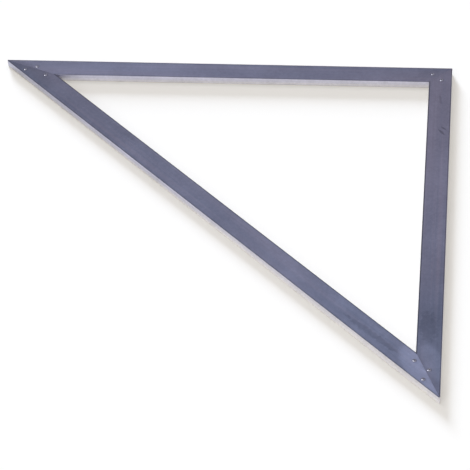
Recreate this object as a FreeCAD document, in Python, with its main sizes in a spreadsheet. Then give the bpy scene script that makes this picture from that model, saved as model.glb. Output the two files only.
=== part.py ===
import FreeCAD, Part
import math
import os
from collections import namedtuple

import Sketcher

# A builder's square: three mitred rectangular tubes riveted over corner inserts into a
# right-angled triangle that lies flat. +Z is up and the underside is at Z = 0. The far leg
# runs along X at the +Y side, the near leg along Y at the +X side, and the origin is at the
# middle of the bounding box's bottom face.

# Driving dimensions in millimetres: alias, value, meaning.
SIZES = (
    ("leg_far", 1200.0, "far leg, from the square corner to its squared-off tip"),
    ("leg_near", 1200.0, "near leg, from the square corner to its squared-off tip"),
    ("tip_trim", 4.0, "length cut off the sharp point of each acute corner"),
    ("rail_width", 60.0, "tube width, across the face"),
    ("rail_height", 20.0, "tube height"),
    ("rail_wall", 2.0, "tube wall"),
    ("rail_edge_radius", 1.2, "outside edge radius of the tube"),
    ("rail_bore_radius", 0.5, "inside edge radius of the tube"),
    ("mitre_gap", 0.2, "gap between two tubes at a mitre"),
    ("insert_side_fit", 0.3, "clearance between an insert's side and the tube wall"),
    ("insert_base_gap", 0.3, "clearance between an insert's ribs and the lower wall"),
    ("insert_web", 4.0, "thickness of the insert's web, which the rivets clamp"),
    ("insert_rib", 3.0, "thickness of the insert's ribs"),
    ("insert_nose", 24.0, "distance along each edge from the corner to the insert's blunt nose"),
    ("insert_chamfer", 0.8, "chamfer round the insert's upper edge"),
    ("tip_insert_reach", 220.0, "length of an acute corner's insert along each rail"),
    ("square_insert_reach", 120.0, "length of the square corner's insert along each rail"),
    ("outer_rivet_along", 70.0, "hypotenuse rivet nearest the tip: distance from the point"),
    ("outer_rivet_inset", 13.0, "the same rivet: distance from the outer edge"),
    ("inner_rivet_back", 17.5, "hypotenuse rivet nearest the opening: distance short of it"),
    ("inner_rivet_inset", 21.0, "the same rivet: distance from the inner edge"),
    ("leg_rivet_along", 89.0, "leg rivet at an acute corner: distance from the point"),
    ("leg_rivet_inset", 27.5, "the same rivet: distance from the outer edge"),
    ("square_rivet_along", 51.0, "rivet at the square corner: distance from the corner"),
    ("square_rivet_inset", 27.0, "the same rivet: distance from the outer edge"),
    ("rivet_shank_diameter", 4.8, "rivet shank"),
    ("rivet_hole_clearance", 0.1, "rivet hole diameter over the shank diameter"),
    ("rivet_head_diameter", 9.5, "rivet dome head"),
    ("rivet_head_height", 1.3, "height of the dome's crown above the rail"),
    ("rivet_head_rim", 0.3, "height of the dome's edge above the rail"),
    ("rivet_tail_diameter", 6.8, "upset tail under the insert's web"),
    ("rivet_tail_length", 3.0, "length of the upset tail"),
    ("mandrel_diameter", 2.6, "stem of the broken-off mandrel"),
    ("mandrel_clearance", 0.06, "rivet bore diameter over the stem diameter"),
    ("mandrel_recess", 0.5, "depth of the broken stem below the dome's crown"),
    ("mandrel_head_diameter", 4.2, "mandrel head"),
    ("mandrel_head_length", 1.8, "length of the mandrel head"),
    ("cut_margin", 5.0, "how far a cutting outline runs past what it cuts"),
)

# Plan geometry, written as expressions on the sizes. The outer edges of the three rails meet
# in sharp points; the legs run on past their squared-off tips to reach those points.
FAR_EDGE = "(Sizes.leg_far + Sizes.tip_trim)"
NEAR_EDGE = "(Sizes.leg_near + Sizes.tip_trim)"
LONG_EDGE = f"sqrt({FAR_EDGE}^2 + {NEAR_EDGE}^2)"
RIGHT_X = "Sizes.leg_far / 2"
BACK_Y = "Sizes.leg_near / 2"

# A corner: its angle, and how far its insert reaches along each rail.
Corner = namedtuple("Corner", "name angle reach")
FAR_TIP = Corner("far", f"atan2({NEAR_EDGE}; {FAR_EDGE})", "Sizes.tip_insert_reach")
NEAR_TIP = Corner("near", f"atan2({FAR_EDGE}; {NEAR_EDGE})", "Sizes.tip_insert_reach")
SQUARE = Corner("square", "90 deg", "Sizes.square_insert_reach")

# A rail has its own frame: x along its outer edge from one corner's point to the next, y in
# towards the triangle's opening and z up. The rails follow each other counterclockwise.
# origin and heading place that frame in plan, turn is the heading's angle, and length is the
# outer edge. The tips are cut square to the legs, so slanted is 1 on the rail that such a
# cut crosses at the corner's angle, and 0 on a leg.
Rail = namedtuple("Rail", "name origin heading turn length first last slanted")
LONG_RAIL = Rail(
    name="hypotenuse_rail",
    origin=(f"{RIGHT_X} - {FAR_EDGE}", BACK_Y),
    heading=(f"{FAR_EDGE} / {LONG_EDGE}", f"-{NEAR_EDGE} / {LONG_EDGE}"),
    turn=f"-{FAR_TIP.angle}",
    length=LONG_EDGE,
    first=FAR_TIP,
    last=NEAR_TIP,
    slanted=1,
)
NEAR_RAIL = Rail(
    name="near_rail",
    origin=(RIGHT_X, f"{BACK_Y} - {NEAR_EDGE}"),
    heading=("0", "1"),
    turn="90 deg",
    length=NEAR_EDGE,
    first=NEAR_TIP,
    last=SQUARE,
    slanted=0,
)
FAR_RAIL = Rail(
    name="far_rail",
    origin=(RIGHT_X, BACK_Y),
    heading=("-1", "0"),
    turn="180 deg",
    length=FAR_EDGE,
    first=SQUARE,
    last=FAR_TIP,
    slanted=0,
)
RAILS = (FAR_RAIL, NEAR_RAIL, LONG_RAIL)

# A rivet: the corner it belongs to, the rail it passes through, and its distances from the
# corner's point along that rail and from the rail's outer edge.
Rivet = namedtuple("Rivet", "name corner rail along inset")


def tip_rivets(corner, leg):
    """The three rivets of an acute corner: two in the hypotenuse rail, one in the leg."""
    opening = f"Sizes.rail_width / tan({corner.angle} / 2)"
    return (
        Rivet(f"{corner.name}_outer", corner, LONG_RAIL,
              "Sizes.outer_rivet_along", "Sizes.outer_rivet_inset"),
        Rivet(f"{corner.name}_inner", corner, LONG_RAIL,
              f"{opening} - Sizes.inner_rivet_back", "Sizes.rail_width - Sizes.inner_rivet_inset"),
        Rivet(f"{corner.name}_leg", corner, leg,
              "Sizes.leg_rivet_along", "Sizes.leg_rivet_inset"),
    )


def square_rivets():
    """The two rivets of the square corner, one in each leg."""
    return tuple(
        Rivet(f"square_{side}", SQUARE, rail, "Sizes.square_rivet_along", "Sizes.square_rivet_inset")
        for side, rail in (("far", FAR_RAIL), ("near", NEAR_RAIL))
    )


RIVETS = square_rivets() + tip_rivets(FAR_TIP, FAR_RAIL) + tip_rivets(NEAR_TIP, NEAR_RAIL)

WEB_TOP = "(Sizes.rail_height - Sizes.rail_wall)"
INSERT_BASE = "(Sizes.rail_wall + Sizes.insert_base_gap)"
RIVET_HOLE = "(Sizes.rivet_shank_diameter + Sizes.rivet_hole_clearance)"
RIVET_BORE = "(Sizes.mandrel_diameter + Sizes.mandrel_clearance)"
GRIP = "(Sizes.rail_wall + Sizes.insert_web)"
TAIL_END = f"({GRIP} + Sizes.rivet_tail_length)"

document = FreeCAD.newDocument("builders_square")


def make_size_sheet():
    """Fill the spreadsheet that drives every sub-part."""
    sheet = document.addObject("Spreadsheet::Sheet", "Sizes")
    for row, (alias, value, meaning) in enumerate(SIZES, start=1):
        sheet.set(f"A{row}", alias)
        sheet.set(f"B{row}", str(value))
        sheet.setAlias(f"B{row}", alias)
        sheet.set(f"C{row}", meaning)
    document.recompute()
    return sheet


sheet = make_size_sheet()


def number(expression):
    """The present value of an expression on the sizes."""
    result = sheet.evalExpression(expression.replace("Sizes.", ""))
    return float(getattr(result, "Value", result))


# Sketch and feature helpers


def new_body(name):
    body = document.addObject("PartDesign::Body", name)
    body.Label = name
    return body


def place(body, spot, height="0", turn="0 deg"):
    """Bind a body's place to expressions: spot is its (x, y), turn its angle about Z."""
    body.setExpression("Placement.Base.x", spot[0])
    body.setExpression("Placement.Base.y", spot[1])
    body.setExpression("Placement.Base.z", height)
    body.setExpression("Placement.Rotation.Angle", turn)


def new_sketch(body, name, role, height=None):
    """A sketch on one of the body's own origin planes, raised by the expression height."""
    sketch = body.newObject("Sketcher::SketchObject", name)
    plane = next(item for item in body.Origin.OriginFeatures if item.Role == role)
    sketch.AttachmentSupport = [(plane, "")]
    sketch.MapMode = "FlatFace"
    if height:
        sketch.setExpression("AttachmentOffset.Base.z", height)
    return sketch


def constrain(sketch, name, kind, places, expression):
    """Add a named dimension and bind it to an expression."""
    index = sketch.addConstraint(Sketcher.Constraint(kind, *places, number(expression)))
    sketch.renameConstraint(index, name)
    sketch.setExpression(f"Constraints.{name}", expression)


def arc_between(start, end, radius):
    """An arc from start to end that turns left, so it bulges out of a counterclockwise loop."""
    chord = end - start
    rise = math.sqrt(radius**2 - (chord.Length / 2) ** 2)
    left = FreeCAD.Vector(-chord.y, chord.x, 0).normalize()
    centre = (start + end) / 2 + left * rise
    angles = [math.atan2(point.y - centre.y, point.x - centre.x) for point in (start, end)]
    circle = Part.Circle(centre, FreeCAD.Vector(0, 0, 1), radius)
    return Part.ArcOfCircle(circle, *angles)


def add_loop(sketch, name, corners, arcs=None):
    """Close a loop through corners, given as (x, y) expressions.

    Edges are straight, but the edge that leaves corner i is an arc where arcs holds a radius
    for i.
    """
    arcs = arcs or {}
    points = [FreeCAD.Vector(number(x), number(y), 0) for x, y in corners]
    edges = []
    for index, point in enumerate(points):
        following = points[(index + 1) % len(points)]
        if index in arcs:
            curve = arc_between(point, following, number(arcs[index]))
        else:
            curve = Part.LineSegment(point, following)
        edges.append(sketch.addGeometry(curve, False))
    for index, edge in enumerate(edges):
        following = edges[(index + 1) % len(edges)]
        sketch.addConstraint(Sketcher.Constraint("Coincident", edge, 2, following, 1))
    for index, (edge, (x, y)) in enumerate(zip(edges, corners)):
        constrain(sketch, f"{name}_x{index}", "DistanceX", (-1, 1, edge, 1), x)
        constrain(sketch, f"{name}_y{index}", "DistanceY", (-1, 1, edge, 1), y)
    for index, radius in arcs.items():
        constrain(sketch, f"{name}_radius{index}", "Radius", (edges[index],), radius)


def add_rounded_rectangle(sketch, name, margin, radius):
    """The tube's section drawn inwards by margin, with its four corners rounded."""
    low = number(margin)
    right = number("Sizes.rail_width") - low
    top = number("Sizes.rail_height") - low
    turn = number(radius)
    ends = (
        ((low + turn, low), (right - turn, low)),
        ((right, low + turn), (right, top - turn)),
        ((right - turn, top), (low + turn, top)),
        ((low, top - turn), (low, low + turn)),
    )
    sides = [
        sketch.addGeometry(Part.LineSegment(FreeCAD.Vector(*a, 0), FreeCAD.Vector(*b, 0)), False)
        for a, b in ends
    ]
    rounds = []
    for index, side in enumerate(ends):
        start = FreeCAD.Vector(*side[1], 0)
        end = FreeCAD.Vector(*ends[(index + 1) % 4][0], 0)
        rounds.append(sketch.addGeometry(arc_between(start, end, turn), False))
    for index, side in enumerate(sides):
        following = sides[(index + 1) % 4]
        sketch.addConstraint(Sketcher.Constraint("Tangent", side, 2, rounds[index], 1))
        sketch.addConstraint(Sketcher.Constraint("Tangent", rounds[index], 2, following, 1))
        direction = "Vertical" if index % 2 else "Horizontal"
        sketch.addConstraint(Sketcher.Constraint(direction, side))
    for other in rounds[1:]:
        sketch.addConstraint(Sketcher.Constraint("Equal", rounds[0], other))
    bottom, right_side, top_side, left_side = sides
    constrain(sketch, f"{name}_left", "DistanceX", (-1, 1, left_side, 1), margin)
    constrain(sketch, f"{name}_bottom", "DistanceY", (-1, 1, bottom, 1), margin)
    constrain(sketch, f"{name}_width", "DistanceX", (left_side, 1, right_side, 1),
              f"Sizes.rail_width - 2 * {margin}")
    constrain(sketch, f"{name}_height", "DistanceY", (bottom, 1, top_side, 1),
              f"Sizes.rail_height - 2 * {margin}")
    constrain(sketch, f"{name}_radius", "Radius", (rounds[0],), radius)


def add_circles(sketch, spots, diameter):
    """Equal circles at the named spots, a list of (name, x, y)."""
    for name, x, y in spots:
        centre = FreeCAD.Vector(number(x), number(y), 0)
        circle = Part.Circle(centre, FreeCAD.Vector(0, 0, 1), number(diameter) / 2)
        edge = sketch.addGeometry(circle, False)
        constrain(sketch, f"{name}_x", "DistanceX", (-1, 1, edge, 3), x)
        constrain(sketch, f"{name}_y", "DistanceY", (-1, 1, edge, 3), y)
        constrain(sketch, f"{name}_diameter", "Diameter", (edge,), diameter)


def pad(body, name, sketch, length):
    feature = body.newObject("PartDesign::Pad", name)
    feature.Profile = sketch
    feature.setExpression("Length", length)
    return feature


def pocket(body, name, sketch, length, upwards=False):
    """Cut down from the sketch by length, or up from it."""
    feature = body.newObject("PartDesign::Pocket", name)
    feature.Profile = sketch
    feature.Reversed = upwards
    feature.setExpression("Length", length)
    return feature


def pocket_through(body, name, sketch):
    """Cut right through the body on both sides of the sketch."""
    feature = body.newObject("PartDesign::Pocket", name)
    feature.Profile = sketch
    feature.SideType = "Symmetric"
    feature.Type = "ThroughAll"
    return feature


def revolve(body, name, sketch):
    """Turn a half section round the sketch's vertical axis, which is the body's Z axis."""
    feature = body.newObject("PartDesign::Revolution", name)
    feature.Profile = sketch
    feature.ReferenceAxis = (sketch, ["V_Axis"])
    feature.Angle = 360
    return feature


def top_face(feature):
    """The name of a feature's highest level face."""
    faces = feature.Shape.Faces
    highest = max(range(len(faces)), key=lambda index: faces[index].BoundBox.ZMin)
    return f"Face{highest + 1}"


# Rails


def from_end(rail, x, at_last):
    """x counted from the rail's last corner back, or as it is at its first corner."""
    return f"{rail.length} - ({x})" if at_last else x


def cut_mitre(body, rail, corner, at_last):
    """Cut one end of a tube along its corner's bisector, half the mitre gap back from it."""
    half = f"({corner.angle} / 2)"
    back = f"Sizes.mitre_gap / (2 * sin({half}))"
    outside = "Sizes.cut_margin"
    inside = "(Sizes.rail_width + Sizes.cut_margin)"
    outer_x = f"{back} - {outside} / tan({half})"
    inner_x = f"{back} + {inside} / tan({half})"
    triangle = ((outer_x, f"-{outside}"), (inner_x, inside), (outer_x, inside))
    name = f"{corner.name}_mitre"
    sketch = new_sketch(body, f"{name}_sketch", "XY_Plane")
    add_loop(sketch, name, [(from_end(rail, x, at_last), y) for x, y in triangle])
    pocket_through(body, name, sketch)


def cut_tip(body, rail, corner, at_last):
    """Take the sharp point off, square to the leg that meets this corner."""
    slant = f"({corner.angle} * {rail.slanted})"
    beyond = "Sizes.cut_margin"
    bisector_y = f"Sizes.tip_trim * tan({corner.angle} / 2)"
    beyond_x = f"Sizes.tip_trim / cos({slant}) + {beyond} * tan({slant})"
    outline = (
        (f"-{beyond}", f"-{beyond}"),
        (beyond_x, f"-{beyond}"),
        ("Sizes.tip_trim", bisector_y),
        (f"-{beyond}", bisector_y),
    )
    name = f"{corner.name}_tip"
    sketch = new_sketch(body, f"{name}_sketch", "XY_Plane")
    add_loop(sketch, name, [(from_end(rail, x, at_last), y) for x, y in outline])
    pocket_through(body, name, sketch)


def build_rail(rail):
    """A rectangular tube, mitred at both ends, with rivet holes in its upper wall."""
    body = new_body(rail.name)
    section = new_sketch(body, "section", "YZ_Plane")
    add_rounded_rectangle(section, "outside", "0", "Sizes.rail_edge_radius")
    add_rounded_rectangle(section, "bore", "Sizes.rail_wall", "Sizes.rail_bore_radius")
    pad(body, "tube", section, rail.length)
    for corner, at_last in ((rail.first, False), (rail.last, True)):
        cut_mitre(body, rail, corner, at_last)
        if corner is not SQUARE:
            cut_tip(body, rail, corner, at_last)
    holes = new_sketch(body, "rivet_hole_sketch", "XY_Plane", "Sizes.rail_height")
    spots = [
        (rivet.name, from_end(rail, rivet.along, rivet.corner is rail.last), rivet.inset)
        for rivet in RIVETS
        if rivet.rail is rail
    ]
    add_circles(holes, spots, RIVET_HOLE)
    into_the_bore = "Sizes.rail_height / 2"
    pocket(body, "rivet_holes", holes, into_the_bore)
    place(body, rail.origin, turn=rail.turn)
    return body


# Corner inserts. An insert lies in the frame of the rail that starts at its corner: its first
# arm runs along that rail, and its second arm along the rail that ends there.


def on_arm(corner, second, along, inset):
    """A plan point at distance along an arm and inset from its outer edge."""
    if not second:
        return along, inset
    x = f"({along}) * cos({corner.angle}) + ({inset}) * sin({corner.angle})"
    y = f"({along}) * sin({corner.angle}) - ({inset}) * cos({corner.angle})"
    return x, y


def insert_outline(corner):
    """The insert's plan: a blunt nose and two arms that end square."""
    outer = "(Sizes.rail_wall + Sizes.insert_side_fit)"
    inner = f"(Sizes.rail_width - {outer})"
    crotch = (f"{inner} / tan({corner.angle} / 2)", inner)
    return (
        on_arm(corner, False, "Sizes.insert_nose", outer),
        on_arm(corner, False, corner.reach, outer),
        on_arm(corner, False, corner.reach, inner),
        crotch,
        on_arm(corner, True, corner.reach, inner),
        on_arm(corner, True, corner.reach, outer),
        on_arm(corner, True, "Sizes.insert_nose", outer),
    )


def recess_outline(corner, second):
    """The hollow under one arm, a rib's thickness in from its sides and from the mitre."""
    outer = "(Sizes.rail_wall + Sizes.insert_side_fit + Sizes.insert_rib)"
    inner = f"(Sizes.rail_width - {outer})"
    half = f"({corner.angle} / 2)"
    rib_shift = f"Sizes.insert_rib / (2 * sin({half}))"
    start = "(Sizes.insert_nose + Sizes.insert_rib)"
    end = f"({corner.reach} - Sizes.insert_rib)"
    corners = (
        (start, outer),
        (end, outer),
        (end, inner),
        (f"{inner} / tan({half}) + {rib_shift}", inner),
        (start, f"({start} - {rib_shift}) * tan({half})"),
    )
    return [on_arm(corner, second, along, inset) for along, inset in corners]


def build_insert(corner, rail):
    """A cast corner piece: a web under the upper tube walls, on ribs that fill the bore."""
    body = new_body(f"{corner.name}_insert")
    plan = new_sketch(body, "plan", "XY_Plane", INSERT_BASE)
    add_loop(plan, "plan", insert_outline(corner))
    height = f"{WEB_TOP} - {INSERT_BASE}"
    block = pad(body, "block", plan, height)
    document.recompute()
    chamfer = body.newObject("PartDesign::Chamfer", "lead_in")
    chamfer.Base = (block, [top_face(block)])
    chamfer.setExpression("Size", "Sizes.insert_chamfer")
    for arm, second in (("first", False), ("second", True)):
        sketch = new_sketch(body, f"{arm}_recess_sketch", "XY_Plane", INSERT_BASE)
        add_loop(sketch, arm, recess_outline(corner, second))
        pocket(body, f"{arm}_recess", sketch, f"{height} - Sizes.insert_web", upwards=True)
    holes = new_sketch(body, "rivet_hole_sketch", "XY_Plane", WEB_TOP)
    spots = [
        (rivet.name, *on_arm(corner, rivet.rail is not rail, rivet.along, rivet.inset))
        for rivet in RIVETS
        if rivet.corner is corner
    ]
    add_circles(holes, spots, RIVET_HOLE)
    pocket(body, "rivet_holes", holes, "Sizes.insert_web + Sizes.insert_rib")
    place(body, rail.origin, turn=rail.turn)
    return body


# Rivets. A rivet's own origin is on its axis, where its head sits on the rail.


def plan_spot(rivet):
    """Where a rivet's axis stands in plan."""
    rail = rivet.rail
    along = f"({from_end(rail, rivet.along, rivet.corner is rail.last)})"
    inset = f"({rivet.inset})"
    heading_x, heading_y = rail.heading
    x = f"{rail.origin[0]} + {along} * ({heading_x}) - {inset} * ({heading_y})"
    y = f"{rail.origin[1]} + {along} * ({heading_y}) + {inset} * ({heading_x})"
    return x, y


def build_rivet(rivet):
    """A set blind rivet: dome head, shank through rail and web, upset tail, open bore."""
    body = new_body(f"rivet_{rivet.name}")
    bore = f"{RIVET_BORE} / 2"
    shank = "Sizes.rivet_shank_diameter / 2"
    head = "Sizes.rivet_head_diameter / 2"
    dome_rise = "(Sizes.rivet_head_height - Sizes.rivet_head_rim)"
    dome_radius = f"(({head})^2 + {dome_rise}^2) / (2 * {dome_rise})"
    crown = f"Sizes.rivet_head_height - {dome_radius} + sqrt(({dome_radius})^2 - ({bore})^2)"
    half_section = (
        (bore, f"-{TAIL_END}"),
        ("Sizes.mandrel_head_diameter / 2", f"-{TAIL_END}"),
        ("Sizes.rivet_tail_diameter / 2", f"-{GRIP}"),
        (shank, f"-{GRIP}"),
        (shank, "0"),
        (head, "0"),
        (head, "Sizes.rivet_head_rim"),
        (bore, crown),
    )
    sketch = new_sketch(body, "half_section", "XZ_Plane")
    add_loop(sketch, "shell", half_section, {1: "Sizes.rivet_tail_length", 6: dome_radius})
    revolve(body, "shell", sketch)
    place(body, plan_spot(rivet), height="Sizes.rail_height")
    return body


def build_mandrel(rivet):
    """The stem left in a set rivet, with its head drawn up against the tail."""
    body = new_body(f"mandrel_{rivet.name}")
    stem = "Sizes.mandrel_diameter / 2"
    head = "Sizes.mandrel_head_diameter / 2"
    break_height = "Sizes.rivet_head_height - Sizes.mandrel_recess"
    head_end = f"-({TAIL_END} + Sizes.mandrel_head_length)"
    head_round = "2 * Sizes.mandrel_head_length"
    half_section = (
        ("0", head_end),
        (stem, head_end),
        (head, f"-{TAIL_END}"),
        (stem, f"-{TAIL_END}"),
        (stem, break_height),
        ("0", break_height),
    )
    sketch = new_sketch(body, "half_section", "XZ_Plane")
    add_loop(sketch, "stem", half_section, {1: head_round})
    revolve(body, "stem", sketch)
    place(body, plan_spot(rivet), height="Sizes.rail_height")
    return body


def check(bodies):
    """Stop unless every object is up to date and every sub-part is one valid solid."""
    for item in document.Objects:
        if "Invalid" in item.State or "Error" in item.State:
            raise RuntimeError(f"{item.Label} failed: {item.State}")
    for body in bodies:
        shape = body.Shape
        if shape.isNull() or not shape.isValid() or len(shape.Solids) != 1:
            raise RuntimeError(f"{body.Label} isn't one valid solid")


def write(bodies):
    os.makedirs("parts", exist_ok=True)
    for body in bodies:
        body.Shape.exportStep(f"parts/{body.Label}.step")


bodies = [build_rail(rail) for rail in RAILS]
bodies += [build_insert(rail.first, rail) for rail in RAILS]
bodies += [build_rivet(rivet) for rivet in RIVETS]
bodies += [build_mandrel(rivet) for rivet in RIVETS]
document.recompute()
check(bodies)
write(bodies)
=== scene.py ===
import math
from collections import namedtuple

import bpy
from mathutils import Matrix, Vector


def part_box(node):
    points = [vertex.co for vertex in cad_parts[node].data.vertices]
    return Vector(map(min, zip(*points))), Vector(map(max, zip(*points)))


# A builder's square of riveted aluminium tube that lies on a white floor. Lengths are metres in
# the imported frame: +Z up, the far leg along X at +Y, the near leg along Y at +X.

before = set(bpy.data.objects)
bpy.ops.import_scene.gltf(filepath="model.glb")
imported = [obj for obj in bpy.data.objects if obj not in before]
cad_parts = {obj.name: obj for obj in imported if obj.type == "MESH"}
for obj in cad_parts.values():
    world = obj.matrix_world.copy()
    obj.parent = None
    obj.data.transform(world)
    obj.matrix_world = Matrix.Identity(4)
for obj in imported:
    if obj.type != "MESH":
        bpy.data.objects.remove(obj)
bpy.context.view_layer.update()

RAILS = ("far_rail", "near_rail", "hypotenuse_rail")
INSERTS = ("square_insert", "far_insert", "near_insert")
RIVETS = tuple(sorted(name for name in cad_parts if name.startswith("rivet_")))
MANDRELS = tuple(sorted(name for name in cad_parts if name.startswith("mandrel_")))

# The range in which a noise's value mostly lies.
NOISE_LOW, NOISE_HIGH = 0.3, 0.7


class Nodes:
    """Adds shader nodes to a tree, feeds their sockets and hands back their outputs."""

    def __init__(self, tree):
        self.tree = tree
        tree.nodes.clear()

    def feed(self, target, value):
        if isinstance(value, bpy.types.NodeSocket):
            self.tree.links.new(value, target)
        else:
            target.default_value = value

    def add(self, kind, settings=None, **inputs):
        node = self.tree.nodes.new(kind)
        for name, value in (settings or {}).items():
            setattr(node, name, value)
        for name, value in inputs.items():
            self.feed(node.inputs[name.replace("_", " ")], value)
        return node

    def math(self, operation, first, second=0.0, clamp=False):
        node = self.add("ShaderNodeMath", {"operation": operation, "use_clamp": clamp})
        self.feed(node.inputs[0], first)
        self.feed(node.inputs[1], second)
        return node.outputs[0]

    def times(self, *factors):
        result = factors[0]
        for factor in factors[1:]:
            result = self.math("MULTIPLY", result, factor)
        return result

    def mix(self, factor, first, second):
        node = self.add("ShaderNodeMix", {"data_type": "RGBA"})
        for index, value in ((0, factor), (6, first), (7, second)):
            self.feed(node.inputs[index], value)
        return node.outputs[2]

    def shade(self, colour, tone):
        """The colour times a tone, held at full brightness."""
        node = self.add("ShaderNodeMix", {"data_type": "RGBA", "blend_type": "MULTIPLY",
                                          "clamp_result": True})
        for index, value in ((0, 1.0), (6, colour), (7, tone)):
            self.feed(node.inputs[index], value)
        return node.outputs[2]

    def blend(self, factor, first, second):
        """A number between first and second."""
        node = self.add("ShaderNodeMix", {"data_type": "FLOAT"})
        for index, value in ((0, factor), (2, first), (3, second)):
            self.feed(node.inputs[index], value)
        return node.outputs[0]

    def span(self, value, low, high, to_low=0.0, to_high=1.0, smooth=True):
        """Map low..high to to_low..to_high, held at both ends."""
        kind = "SMOOTHSTEP" if smooth else "LINEAR"
        node = self.add("ShaderNodeMapRange", {"interpolation_type": kind}, Value=value,
                        From_Min=low, From_Max=high, To_Min=to_low, To_Max=to_high)
        return node.outputs["Result"]

    def spread(self, noise, to_low, to_high):
        """Map the usual range of a noise to to_low..to_high, in proportion."""
        return self.span(noise, NOISE_LOW, NOISE_HIGH, to_low, to_high, smooth=False)

    def scaled(self, place, stretch, turn=0.0, shift=(0, 0, 0)):
        """The place, taken from shift and turned about Z, then stretched along its axes."""
        turned = self.add("ShaderNodeMapping", {"vector_type": "TEXTURE"}, Vector=place,
                          Location=shift, Rotation=(0, 0, turn))
        node = self.add("ShaderNodeMapping", {"vector_type": "POINT"},
                        Vector=turned.outputs[0], Scale=stretch)
        return node.outputs[0]

    def noise(self, place, scale=1.0, detail=2.0, roughness=0.5, twist=0.0):
        node = self.add("ShaderNodeTexNoise", Vector=place, Scale=scale, Detail=detail,
                        Roughness=roughness, Distortion=twist)
        return node.outputs["Fac"]

    def profile(self, value, stops):
        """A smooth curve through stops, a list of (value, result)."""
        low, high = stops[0][0], stops[-1][0]
        top = max(result for _, result in stops)
        ramp = self.add("ShaderNodeValToRGB", Fac=self.span(value, low, high, smooth=False))
        ramp.color_ramp.interpolation = "EASE"
        elements = ramp.color_ramp.elements
        while len(elements) < len(stops):
            elements.new(0.5)
        for element, (position, result) in zip(elements, stops):
            element.position = (position - low) / (high - low)
            element.color = (result / top, result / top, result / top, 1)
        return self.times(ramp.outputs["Color"], top)

    def axes(self, place):
        node = self.add("ShaderNodeSeparateXYZ", Vector=place)
        return node.outputs["X"], node.outputs["Y"], node.outputs["Z"]

    def distance(self, place, point):
        """Distance in plan from a point."""
        flat = self.add("ShaderNodeVectorMath", {"operation": "MULTIPLY"})
        self.feed(flat.inputs[0], place)
        self.feed(flat.inputs[1], (1, 1, 0))
        node = self.add("ShaderNodeVectorMath", {"operation": "DISTANCE"})
        self.feed(node.inputs[0], flat.outputs[0])
        self.feed(node.inputs[1], (point[0], point[1], 0))
        return node.outputs["Value"]


def new_material(name):
    material = bpy.data.materials.new(name)
    material.use_nodes = True
    return material, Nodes(material.node_tree)


def finish_material(nodes, shader):
    output = nodes.add("ShaderNodeOutputMaterial")
    nodes.tree.links.new(shader.outputs[0], output.inputs["Surface"])


# Rails. Each has its own frame: x along the rail, y in from its outer edge and z up.

# The angle of x about Z, from +X.
RAIL_TURN = {"far_rail": math.pi, "near_rail": math.pi / 2, "hypotenuse_rail": -math.pi / 4}


def rail_frame(rail):
    """The origin of a rail's frame in plan and the rail's width."""
    turn = Matrix.Rotation(RAIL_TURN[rail], 2)
    back = turn.inverted()
    corners = [back @ vertex.co.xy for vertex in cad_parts[rail].data.vertices]
    low = Vector((min(corner.x for corner in corners), min(corner.y for corner in corners)))
    return turn @ low, max(corner.y for corner in corners) - low.y


# How the brightness of each rail's wide faces runs along it: (distance from its start, tone).
RAIL_TONES = {
    "far_rail": ((0.0, 0.99), (0.30, 1.11), (0.55, 1.15), (0.80, 1.28), (0.98, 1.29), (1.10, 1.19),
                 (1.2, 1.0)),
    "near_rail": ((0.0, 1.06), (0.15, 0.93), (0.25, 0.85), (0.36, 0.97), (0.50, 1.04), (0.80, 1.13),
                  (1.2, 1.0)),
    "hypotenuse_rail": ((0.0, 0.81), (0.25, 0.93), (0.45, 1.01), (0.70, 1.09), (1.20, 1.19),
                        (1.45, 1.14), (1.7, 1.16)),
}
# The same along the narrow sides, where the brightness is painted reflection of the floor.
SIDE_TONES = {
    "far_rail": ((0.0, 1.0), (0.6, 0.965), (1.2, 0.88)),
    "near_rail": ((0.0, 1.12), (1.2, 1.04)),
    "hypotenuse_rail": ((0.0, 0.68), (0.5, 0.90), (1.0, 1.03), (1.7, 1.13)),
}
# How far the wide faces are from bluish towards purplish: (distance from its start, share).
RAIL_WARMTH = {
    "far_rail": ((0.0, 0.70), (0.40, 0.50), (1.0, 0.52), (1.2, 0.60)),
    "near_rail": ((0.0, 0.40), (0.20, 0.0), (0.45, 0.60), (0.9, 1.0), (1.2, 0.95)),
    "hypotenuse_rail": ((0.0, 0.45), (0.60, 0.45), (1.0, 0.50), (1.45, 0.05), (1.7, 0.30)),
}
# How far the streaks shift that share either way.
STREAK_WARMTH = 0.25
BLUISH = (0.267, 0.299, 0.414, 1)
PURPLISH = (0.314, 0.299, 0.382, 1)
# Painted reflection of the floor: the sides turn brighter and paler in their lower part, which
# is this share of their height.
LOWER_PART = 0.7
UPPER_SIDE_TONE, LOWER_SIDE_TONE = 0.98, 1.13
# The sides' metal, much paler than the wide faces', is painted reflection of the bright floor; the
# second one is for their lower part and their brighter stretches.
LIT_SIDE_METAL = (0.720, 0.725, 0.890, 1)
LIT_SIDE_METAL_PALE = (0.770, 0.760, 0.815, 1)
# They are also painted paler where they are brighter along the rail, between these tones.
PALE_TONES = (0.90, 1.15)
# The tone of the painted shade along each rail's long upper edges: (outer edge, inner edge).
ARRIS_SHADE_TONES = {"far_rail": (0.52, 0.62), "near_rail": (0.50, 0.30), "hypotenuse_rail": (0.50, 0.34)}
# It fades out between these distances from the edge.
ARRIS_FADE = (0.001395, 0.00403)
# The outer edge's tone gives way to the inner edge's between these shares of the width.
ARRIS_CHANGE = (0.4, 0.6)

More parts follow.
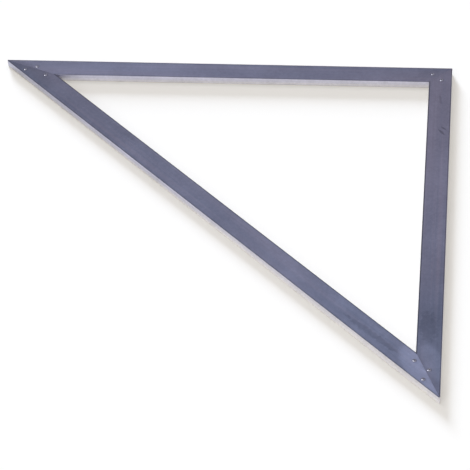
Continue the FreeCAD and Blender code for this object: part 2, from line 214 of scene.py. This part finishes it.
# Marks of handling on the wide faces: soft ovals, each with the place of its middle, half its
# length and half its width, its turn in degrees, its tone, the roughness that it adds, and how
# soft its rim is, from 0 to 1.
Mark = namedtuple("Mark", "along across half_length half_width turn tone dulling softness")
RAIL_MARKS = {
    "far_rail": (
        Mark(1.145, 0.030, 0.040, 0.016, -35, 0.86, 0.00, 0.6),
        Mark(0.905, 0.028, 0.160, 0.016, 0, 1.06, 0.03, 0.6),
        Mark(0.060, 0.030, 0.030, 0.022, 30, 0.94, 0.02, 0.5),
    ),
    "near_rail": (
        Mark(0.112, 0.020, 0.060, 0.022, 18, 1.16, 0.05, 0.35),
        Mark(0.150, 0.034, 0.020, 0.012, 60, 1.05, 0.02, 0.5),
        Mark(0.225, 0.034, 0.050, 0.020, 5, 0.84, 0.00, 0.5),
        Mark(0.935, 0.022, 0.0125, 0.0032, 37, 0.66, 0.00, 0.5),
        Mark(0.951, 0.017, 0.0095, 0.0026, 45, 0.68, 0.00, 0.5),
        Mark(1.068, 0.028, 0.022, 0.0036, 8, 0.82, 0.00, 0.6),
    ),
    "hypotenuse_rail": (
        Mark(1.660, 0.052, 0.142, 0.060, 0, 1.22, 0.06, 0.12),
        Mark(1.660, 0.052, 0.120, 0.050, 0, 1.06, 0.03, 0.40),
        Mark(1.444, 0.025, 0.085, 0.008, 2, 0.82, 0.00, 0.5),
        Mark(0.110, 0.030, 0.060, 0.020, -20, 0.90, 0.02, 0.5),
        Mark(0.450, 0.046, 0.050, 0.008, 3, 0.93, 0.00, 0.5),
    ),
}
# Painted shade round a rivet's head, and how wide it is.
RIM_SHADE_TONE = 0.55
RIM_SHADE_BAND = 0.0022

# Fine scratches: the turn of each set in degrees, and a shift that sets it apart from the others.
SCRATCHES = ((7, 0.31), (-14, 0.77), (34, 1.3), (-52, 2.1))
SCRATCH_TONE = 1.16
# How many there are to the metre along, across and up, and the noise at which one sets in.
SCRATCH_SCALE = (22, 620, 1)
SCRATCH_NOISE = (0.68, 0.76)
# The same for the patches that hold them.
PATCH_SCALE = (9, 9, 1)
PATCH_NOISE = (0.45, 0.62)

# How far up a surface faces, from -1 to 1, where each of these sets in.
WIDE_FACE_RISE = (0.85, 0.99)
UPPER_FACE_RISE = (0.0, 0.1)
ARRIS_RISE = (0.25, 0.5)

# Roughness from line to line, and how far the clouds raise and lower it.
LINE_ROUGHNESS = (0.30, 0.38)
CLOUD_ROUGHNESS = 0.03
# The relief of the finest lines and the depth of the scratches, as shares of the lines' relief.
FINE_RELIEF = 0.4
SCRATCH_RELIEF = 0.6

# What a rail's shader knows of a point: its place in the object's frame and in the rail's, the
# parts of the latter, and how far up its surface faces.
Spot = namedtuple("Spot", "in_object place along across height rise")
# Noises in a rail's frame: extrusion lines, finest first, and then blotches, largest first.
Grain = namedtuple("Grain", "fine lines streaks clouds mottle specks")


def rail_spot(nodes, rail, origin):
    """The point that is shaded, on a rail whose frame starts at origin."""
    where = nodes.add("ShaderNodeTexCoord").outputs["Object"]
    place = nodes.scaled(where, (1, 1, 1), RAIL_TURN[rail], (origin.x, origin.y, 0))
    _, _, rise = nodes.axes(nodes.add("ShaderNodeNewGeometry").outputs["Normal"])
    return Spot(where, place, *nodes.axes(place), rise)


def rail_grain(nodes, place):
    return Grain(
        fine=nodes.noise(nodes.scaled(place, (4, 2600, 2600)), detail=2),
        lines=nodes.noise(nodes.scaled(place, (2.5, 700, 700)), detail=3),
        streaks=nodes.noise(nodes.scaled(place, (1.6, 70, 70)), detail=2),
        clouds=nodes.noise(place, 16, detail=3, twist=0.4),
        mottle=nodes.noise(place, 110, detail=4, roughness=0.6),
        specks=nodes.noise(place, 420, detail=3, roughness=0.65),
    )


def grain_tone(nodes, grain):
    """How the noises lighten and darken the metal."""
    swings = ((grain.streaks, 0.07), (grain.clouds, 0.06), (grain.lines, 0.05),
              (grain.mottle, 0.06), (grain.specks, 0.05))
    return nodes.times(*(nodes.spread(noise, 1 - swing, 1 + swing) for noise, swing in swings))


def mark_strength(nodes, place, ragged, mark):
    """1 inside a mark on a rail and 0 outside it. ragged, within 1 either way, frays its rim."""
    oval = nodes.scaled(place, (1 / mark.half_length, 1 / mark.half_width, 0),
                        math.radians(mark.turn), (mark.along, mark.across, 0))
    length = nodes.add("ShaderNodeVectorMath", {"operation": "LENGTH"})
    nodes.feed(length.inputs[0], oval)
    rim = mark.softness / 2
    frayed = nodes.math("ADD", length.outputs["Value"], nodes.times(ragged, rim))
    return nodes.span(frayed, 1 - rim, 1 + rim, 1.0, 0.0)


def rail_marks(nodes, spot, grain, rail):
    """The tone of the marks of handling on a rail, and the roughness that they add."""
    ragged = nodes.spread(grain.mottle, -1.0, 1.0)
    tone, haze = 1.0, 0.0
    for mark in RAIL_MARKS[rail]:
        inside = mark_strength(nodes, spot.place, ragged, mark)
        tone = nodes.times(nodes.blend(inside, 1.0, mark.tone), tone)
        haze = nodes.math("ADD", nodes.times(inside, mark.dulling), haze)
    return tone, haze


def scratch_strength(nodes, place, turn, shift):
    """Sparse fine straight scratches that lie along a turn on a rail."""
    stretched = nodes.scaled(place, SCRATCH_SCALE, math.radians(turn), (shift, shift, 0))
    lines = nodes.noise(stretched, detail=1)
    patches = nodes.noise(nodes.scaled(place, PATCH_SCALE, 0.0, (shift, 0, 0)), detail=1)
    return nodes.times(nodes.span(lines, *SCRATCH_NOISE), nodes.span(patches, *PATCH_NOISE))


def rail_scratches(nodes, place):
    scratched = 0.0
    for turn, shift in SCRATCHES:
        scratched = nodes.math("MAXIMUM", scratch_strength(nodes, place, turn, shift), scratched)
    return scratched


def rivet_rim_shade(nodes, spot, rail):
    """Painted shade round the head of each rivet on a rail: a tone."""
    low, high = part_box(rail)
    tone = 1.0
    for name in RIVETS:
        head_low, head_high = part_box(name)
        middle = (head_low + head_high) / 2
        if not (low.x < middle.x < high.x and low.y < middle.y < high.y):
            continue
        radius = (head_high.x - head_low.x) / 2
        distance = nodes.distance(spot.in_object, middle)
        tone = nodes.times(nodes.span(distance, radius, radius + RIM_SHADE_BAND, RIM_SHADE_TONE, 1.0), tone)
    return tone


def arris_tone(nodes, spot, rail, width, top):
    """The tone of the painted shade along a rail's long upper edges."""
    to_side = nodes.math("MINIMUM", spot.across, nodes.math("SUBTRACT", width, spot.across))
    to_face = nodes.math("MINIMUM", spot.height, nodes.math("SUBTRACT", top, spot.height))
    to_edge = nodes.math("MAXIMUM", to_side, to_face)
    change_low, change_high = (share * width for share in ARRIS_CHANGE)
    # The painted shade's tone, from the outer edge to the inner one.
    edge_shade = nodes.span(spot.across, change_low, change_high, *ARRIS_SHADE_TONES[rail])
    by_edge = nodes.blend(nodes.span(to_edge, *ARRIS_FADE), edge_shade, 1.0)
    return nodes.blend(nodes.span(spot.rise, *ARRIS_RISE), 1.0, by_edge)


def side_painted_reflection(nodes, spot, rail, top):
    """The tone and the colour of a rail's sides, a painted reflection of the floor."""
    along = nodes.profile(spot.along, SIDE_TONES[rail])
    low_down = nodes.span(spot.height, 0.0, LOWER_PART * top, 1.0, 0.0)
    pale = nodes.math("ADD", low_down, nodes.span(along, *PALE_TONES), clamp=True)
    tone = nodes.times(along, nodes.blend(low_down, UPPER_SIDE_TONE, LOWER_SIDE_TONE))
    return tone, nodes.mix(pale, LIT_SIDE_METAL, LIT_SIDE_METAL_PALE)


def face_colour(nodes, spot, grain, rail):
    """The colour of a rail's wide faces."""
    warmth = nodes.math("ADD", nodes.profile(spot.along, RAIL_WARMTH[rail]),
                        nodes.spread(grain.streaks, -STREAK_WARMTH, STREAK_WARMTH), clamp=True)
    return nodes.mix(warmth, BLUISH, PURPLISH)


def rail_metal(rail):
    """Mill-finish extruded aluminium, its lines running along the rail."""
    material, nodes = new_material(f"{rail}_aluminium")
    origin, width = rail_frame(rail)
    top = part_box(rail)[1].z
    spot = rail_spot(nodes, rail, origin)
    grain = rail_grain(nodes, spot.place)
    wide = nodes.span(nodes.math("ABSOLUTE", spot.rise), *WIDE_FACE_RISE)
    upper = nodes.span(spot.rise, *UPPER_FACE_RISE)

    marks, haze = rail_marks(nodes, spot, grain, rail)
    # The marks also take the painted shade round the rivet heads.
    marks = nodes.times(marks, rivet_rim_shade(nodes, spot, rail))
    scratched = rail_scratches(nodes, spot.place)
    face = nodes.times(nodes.profile(spot.along, RAIL_TONES[rail]), nodes.blend(upper, 1.0, marks),
                       nodes.blend(scratched, 1.0, SCRATCH_TONE))
    # The sides get a much paler copy of the metal than the wide faces: a painted reflection of the
    # bright floor.
    side, side_colour = side_painted_reflection(nodes, spot, rail, top)
    tone = nodes.times(nodes.blend(wide, side, face), grain_tone(nodes, grain),
                       arris_tone(nodes, spot, rail, width, top))
    colour = nodes.mix(wide, side_colour, face_colour(nodes, spot, grain, rail))

    roughness = nodes.math("ADD", nodes.spread(grain.lines, *LINE_ROUGHNESS),
                           nodes.spread(grain.clouds, -CLOUD_ROUGHNESS, CLOUD_ROUGHNESS))
    roughness = nodes.math("ADD", roughness, nodes.times(upper, haze))
    relief = nodes.math("ADD", nodes.times(grain.fine, FINE_RELIEF), grain.lines)
    relief = nodes.math("SUBTRACT", relief, nodes.times(scratched, SCRATCH_RELIEF))
    bump = nodes.add("ShaderNodeBump", Strength=0.25, Distance=0.0003, Height=relief)
    shader = nodes.add("ShaderNodeBsdfPrincipled", Base_Color=nodes.shade(colour, tone),
                       Metallic=1.0, Roughness=roughness, Normal=bump.outputs[0])
    finish_material(nodes, shader)
    return material


# The tones between which the grain of the other metals runs.
GRAIN_TONES = (0.85, 1.1)


def plain_metal(name, colour, smoothest, roughest, scale):
    """Satin metal with a fine grain. scale is the number of grains to the metre."""
    material, nodes = new_material(name)
    grain = nodes.noise(nodes.add("ShaderNodeTexCoord").outputs["Object"], scale, detail=4)
    dark, light = (tuple(tone * part for part in colour) + (1,) for tone in GRAIN_TONES)
    bump = nodes.add("ShaderNodeBump", Strength=0.2, Distance=0.0002, Height=grain)
    shader = nodes.add(
        "ShaderNodeBsdfPrincipled",
        Base_Color=nodes.mix(nodes.span(grain, NOISE_LOW, NOISE_HIGH), dark, light),
        Metallic=1.0,
        Roughness=nodes.span(grain, NOISE_LOW, NOISE_HIGH, smoothest, roughest),
        Normal=bump.outputs[0],
    )
    finish_material(nodes, shader)
    return material


def dress(names, material):
    for name in names:
        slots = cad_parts[name].data.materials
        slots.clear()
        slots.append(material)


for rail in RAILS:
    dress((rail,), rail_metal(rail))
dress(INSERTS, plain_metal("cast_aluminium", colour=(0.5, 0.5, 0.52), smoothest=0.45,
                           roughest=0.6, scale=900))
dress(RIVETS, plain_metal("rivet_aluminium", colour=(0.42, 0.42, 0.49), smoothest=0.14,
                          roughest=0.22, scale=1500))
dress(MANDRELS, plain_metal("mandrel_steel", colour=(0.12, 0.12, 0.14), smoothest=0.35,
                            roughest=0.5, scale=2500))


# Studio

# Half the floor's width, and how far it lies below the object.
FLOOR_HALF = 40.0
FLOOR_DROP = 0.0004
FLOOR_COLOUR = (0.92, 0.89, 0.845)
FLOOR_GLOW = (0.112, 0.109, 0.066)


def make_floor():
    """A white floor that keeps soft shadows. The glow only tops it up where it is seen."""
    mesh = bpy.data.meshes.new("floor")
    corners = [(x * FLOOR_HALF, y * FLOOR_HALF, -FLOOR_DROP)
               for x, y in ((-1, -1), (1, -1), (1, 1), (-1, 1))]
    mesh.from_pydata(corners, [], [(0, 1, 2, 3)])
    floor = bpy.data.objects.new("floor", mesh)
    bpy.context.scene.collection.objects.link(floor)
    material, nodes = new_material("floor_white")
    matt = nodes.add("ShaderNodeBsdfDiffuse", Color=FLOOR_COLOUR + (1,))
    path = nodes.add("ShaderNodeLightPath")
    seen = nodes.math("MAXIMUM", path.outputs["Is Camera Ray"], path.outputs["Is Glossy Ray"])
    seen = nodes.math("MAXIMUM", seen, path.outputs["Is Transmission Ray"])
    glow = nodes.add("ShaderNodeEmission", Color=FLOOR_GLOW + (1,), Strength=seen)
    both = nodes.add("ShaderNodeAddShader")
    nodes.tree.links.new(matt.outputs[0], both.inputs[0])
    nodes.tree.links.new(glow.outputs[0], both.inputs[1])
    finish_material(nodes, both)
    mesh.materials.append(material)


# The studio's light by height: (elevation in degrees, colour).
SKY = (
    (0, (1.0, 1.0, 1.0)),
    (6.5, (1.0, 1.0, 1.0)),
    (12, (0.25, 0.25, 0.29)),
    (28, (0.36, 0.36, 0.42)),
    (38, (0.49, 0.49, 0.55)),
    (48, (0.44, 0.44, 0.51)),
    (60, (0.47, 0.47, 0.54)),
    (80, (0.85, 0.85, 0.86)),
)


def make_sky():
    world = bpy.data.worlds.new("studio")
    bpy.context.scene.world = world
    world.use_nodes = True
    nodes = Nodes(world.node_tree)
    direction = nodes.add("ShaderNodeTexCoord").outputs["Generated"]
    height = nodes.axes(direction)[2]
    ramp = nodes.add("ShaderNodeValToRGB", Fac=height)
    elements = ramp.color_ramp.elements
    while len(elements) < len(SKY):
        elements.new(0.5)
    for element, (elevation, colour) in zip(elements, SKY):
        element.position = math.sin(math.radians(elevation))
        element.color = colour + (1,)
    background = nodes.add("ShaderNodeBackground", Color=ramp.outputs["Color"])
    output = nodes.add("ShaderNodeOutputWorld")
    nodes.tree.links.new(background.outputs[0], output.inputs["Surface"])


# Soft suns. azimuth is where one stands, counted from +Y towards -X, spread is how wide it looks,
# both in degrees, share is the part of a white floor's brightness that it gives, and glossy says
# whether metal mirrors it.
Sun = namedtuple("Sun", "name azimuth elevation spread share colour glossy")
SUNS = (
    Sun("back_light", 22, 14.0, 17, 0.335, (0.86, 0.975, 1.17), False),
    Sun("front_light", 180, 60, 30, 0.07, (1.07, 1.0, 0.86), False),
    Sun("left_light", 140, 30, 22, 0.05, (0.93, 1.0, 1.06), False),
    Sun("rivet_light", 48, 53, 20, 0.08, (1.0, 1.0, 1.0), True),
)


def add_sun(sun):
    light = bpy.data.lights.new(sun.name, "SUN")
    light.angle = math.radians(sun.spread)
    light.color = sun.colour
    light.energy = sun.share * math.pi / math.sin(math.radians(sun.elevation))
    lamp = bpy.data.objects.new(sun.name, light)
    turn, rise = math.radians(sun.azimuth), math.radians(sun.elevation)
    towards = Vector((
        -math.sin(turn) * math.cos(rise),
        math.cos(turn) * math.cos(rise),
        math.sin(rise),
    ))
    lamp.rotation_mode = "QUATERNION"
    lamp.rotation_quaternion = towards.to_track_quat("Z", "Y")
    lamp.visible_glossy = sun.glossy
    bpy.context.scene.collection.objects.link(lamp)


# The camera stands to the right of straight ahead and looks down past the near corner. Angles are
# degrees, and the azimuth is counted from -Y towards +X.
CAMERA_AZIMUTH = 7.989
CAMERA_ELEVATION = 42.386
CAMERA_ROLL = -3.837
CAMERA_DISTANCE = 5.499
CAMERA_LENS = 171.3
# The point that it looks at, in plan. It lies as high as the rails' tops.
AIM = (0.0831, -0.0764)


def make_camera():
    azimuth, elevation = math.radians(CAMERA_AZIMUTH), math.radians(CAMERA_ELEVATION)
    back = Vector((
        math.sin(azimuth) * math.cos(elevation),
        -math.cos(azimuth) * math.cos(elevation),
        math.sin(elevation),
    ))
    level = Vector((math.cos(azimuth), math.sin(azimuth), 0))
    right = Matrix.Rotation(math.radians(CAMERA_ROLL), 3, back) @ level
    up = back.cross(right)
    rail_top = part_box("far_rail")[1].z
    camera = bpy.data.objects.new("camera", bpy.data.cameras.new("camera"))
    camera.data.lens = CAMERA_LENS
    camera.data.clip_end = 200
    camera.rotation_mode = "QUATERNION"
    camera.rotation_quaternion = Matrix((right, up, back)).transposed().to_quaternion()
    camera.location = Vector((AIM[0], AIM[1], rail_top)) + back * CAMERA_DISTANCE
    bpy.context.scene.collection.objects.link(camera)
    bpy.context.scene.camera = camera


make_floor()
make_sky()
for sun in SUNS:
    add_sun(sun)
make_camera()
bpy.context.scene.view_settings.view_transform = "Standard"
